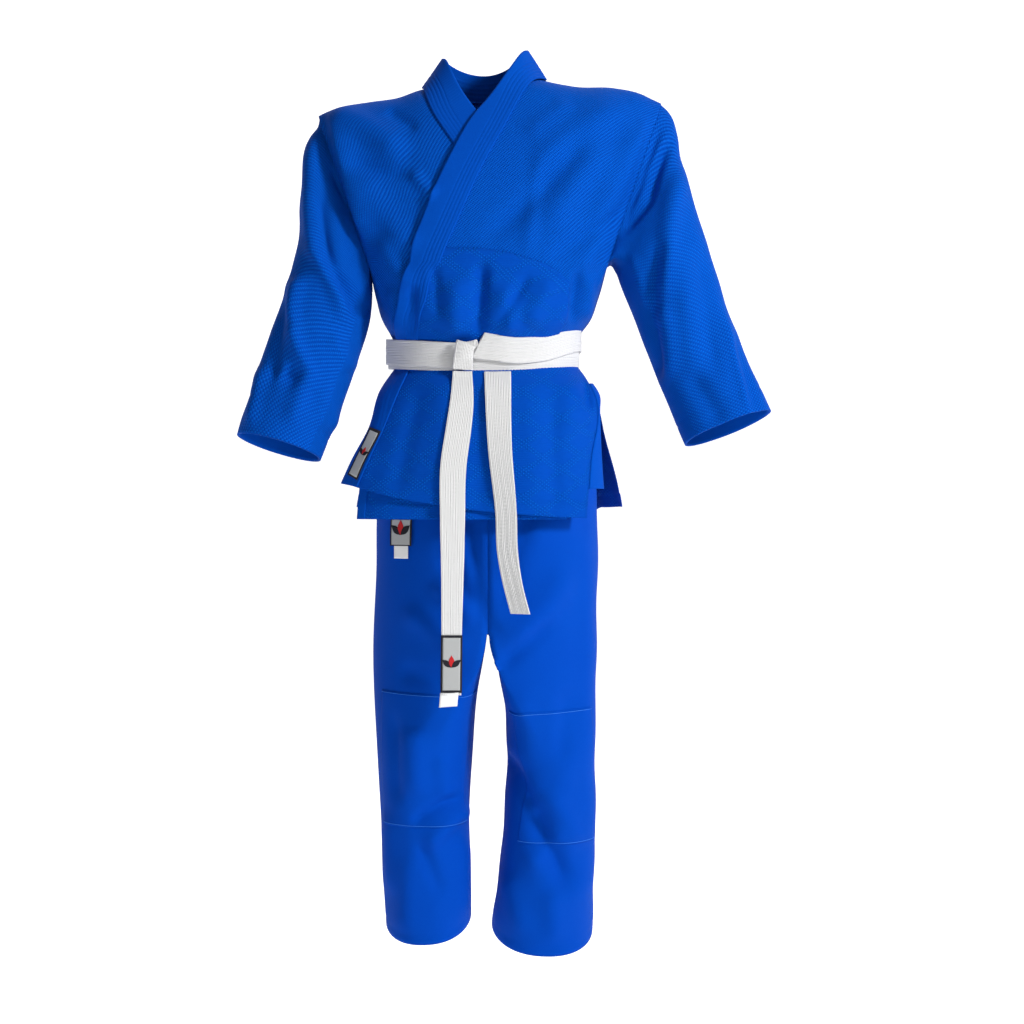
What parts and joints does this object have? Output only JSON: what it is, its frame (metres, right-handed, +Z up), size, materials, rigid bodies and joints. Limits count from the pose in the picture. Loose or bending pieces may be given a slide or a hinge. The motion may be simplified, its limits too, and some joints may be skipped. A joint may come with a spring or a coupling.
{
  "type": "judo uniform",
  "caption": "Wrap jacket, plain trousers and tied belt standing hollow as worn, with sleeves, skirt flaps, belt tails and legs that swing",
  "frame": {"origin": "the middle of the neck at the shoulder line, where a wearer or a stand holds the uniform up", "axes": "+Z up along the wearer's spine, +X to the wearer's left, the front of the jacket faces -Y"},
  "size_m": [0.8145, 0.2839, 1.345],
  "materials": {
    "rice_weave": "royal blue cotton in a fine raised rice-grain weave",
    "diamond_weave": "royal blue cotton with a raised diamond lattice",
    "lapel_cloth": "smooth blue drill in rows of lengthwise stitching",
    "plain_cloth": "plain blue cotton",
    "core_cloth": "undyed stiff cotton layers",
    "belt_cloth": "off-white cotton in rows of lengthwise stitching",
    "drill": "smooth royal blue cotton drill",
    "label": "woven grey label with a black border",
    "tag": "white satin tag"
  },
  "bodies": {
    "jacket": {"jacket_back_upper": "rice_weave", "left_front_upper": "rice_weave", "right_front_upper": "rice_weave", "jacket_back_waist": "diamond_weave", "left_front_waist": "diamond_weave", "right_front_waist": "diamond_weave", "left_lapel": "lapel_cloth", "right_lapel": "lapel_cloth", "collar_neck": "lapel_cloth", "left_lapel_core": "core_cloth", "right_lapel_core": "core_cloth", "collar_core": "core_cloth", "shoulder_lining": "plain_cloth", "belt_wrap_inner": "belt_cloth", "belt_wrap_outer": "belt_cloth", "belt_knot_over": "belt_cloth", "belt_knot_cross": "belt_cloth", "belt_knot_under": "belt_cloth"},
    "back_flap": {"back_skirt": "diamond_weave", "left_vent_patch": "plain_cloth", "right_vent_patch": "plain_cloth"},
    "left_arm": {"left_sleeve": "rice_weave", "left_cuff_facing": "plain_cloth", "left_gusset": "plain_cloth"},
    "right_arm": {"right_sleeve": "rice_weave", "right_cuff_facing": "plain_cloth", "right_gusset": "plain_cloth"},
    "long_tail": {"belt_tail_long": "belt_cloth", "belt_label": "label", "belt_size_tag": "tag"},
    "short_tail": {"belt_tail_short": "belt_cloth"},
    "trousers": {"trousers_left_hip": "drill", "trousers_right_hip": "drill", "trousers_waistband": "drill", "crotch_gusset": "drill", "trousers_label": "label", "trousers_size_tag": "tag"},
    "left_trouser_leg": {"left_leg": "drill", "left_knee_patch": "drill", "left_leg_facing": "drill"},
    "right_trouser_leg": {"right_leg": "drill", "right_knee_patch": "drill", "right_leg_facing": "drill"},
    "front_flap": {"right_front_skirt": "diamond_weave", "right_lapel_end": "lapel_cloth", "right_vent_band": "plain_cloth", "left_front_skirt": "diamond_weave", "left_lapel_end": "lapel_cloth", "left_vent_band": "plain_cloth", "lapel_label": "label"}
  },
  "joints": [
    {"name": "left_sleeve_raise", "type": "hinge", "parent": "jacket", "child": "left_arm", "pos_m": [0.2642, 0, -0.018], "axis": [0, -1, 0], "range_deg": [0, 50]},
    {"name": "right_sleeve_raise", "type": "hinge", "parent": "jacket", "child": "right_arm", "pos_m": [-0.2642, 0, -0.018], "axis": [0, 1, 0], "range_deg": [0, 50]},
    {"name": "back_flap_lift", "type": "hinge", "parent": "jacket", "child": "back_flap", "pos_m": [0, 0.0968, -0.428], "axis": [1, 0, 0], "range_deg": [0, 24]},
    {"name": "front_flap_lift", "type": "hinge", "parent": "jacket", "child": "front_flap", "pos_m": [0, -0.1142, -0.424], "axis": [-1, 0, 0], "range_deg": [0, 35]},
    {"name": "long_tail_swing", "type": "hinge", "parent": "front_flap", "child": "long_tail", "pos_m": [-0.028, -0.1142, -0.424], "axis": [-1, 0, 0], "range_deg": [0, 40]},
    {"name": "short_tail_swing", "type": "hinge", "parent": "front_flap", "child": "short_tail", "pos_m": [0.016, -0.1142, -0.424], "axis": [-1, 0, 0], "range_deg": [0, 40]},
    {"name": "trousers_slip", "type": "slide", "parent": "jacket", "child": "trousers", "axis": [0, 0, -1], "range_m": [0, 0.2]},
    {"name": "left_leg_swing", "type": "hinge", "parent": "trousers", "child": "left_trouser_leg", "pos_m": [0.088, -0.116, -0.812], "axis": [-1, 0, 0], "range_deg": [0, 24]},
    {"name": "right_leg_swing", "type": "hinge", "parent": "trousers", "child": "right_trouser_leg", "pos_m": [-0.088, -0.116, -0.812], "axis": [-1, 0, 0], "range_deg": [0, 24]}
  ]
}
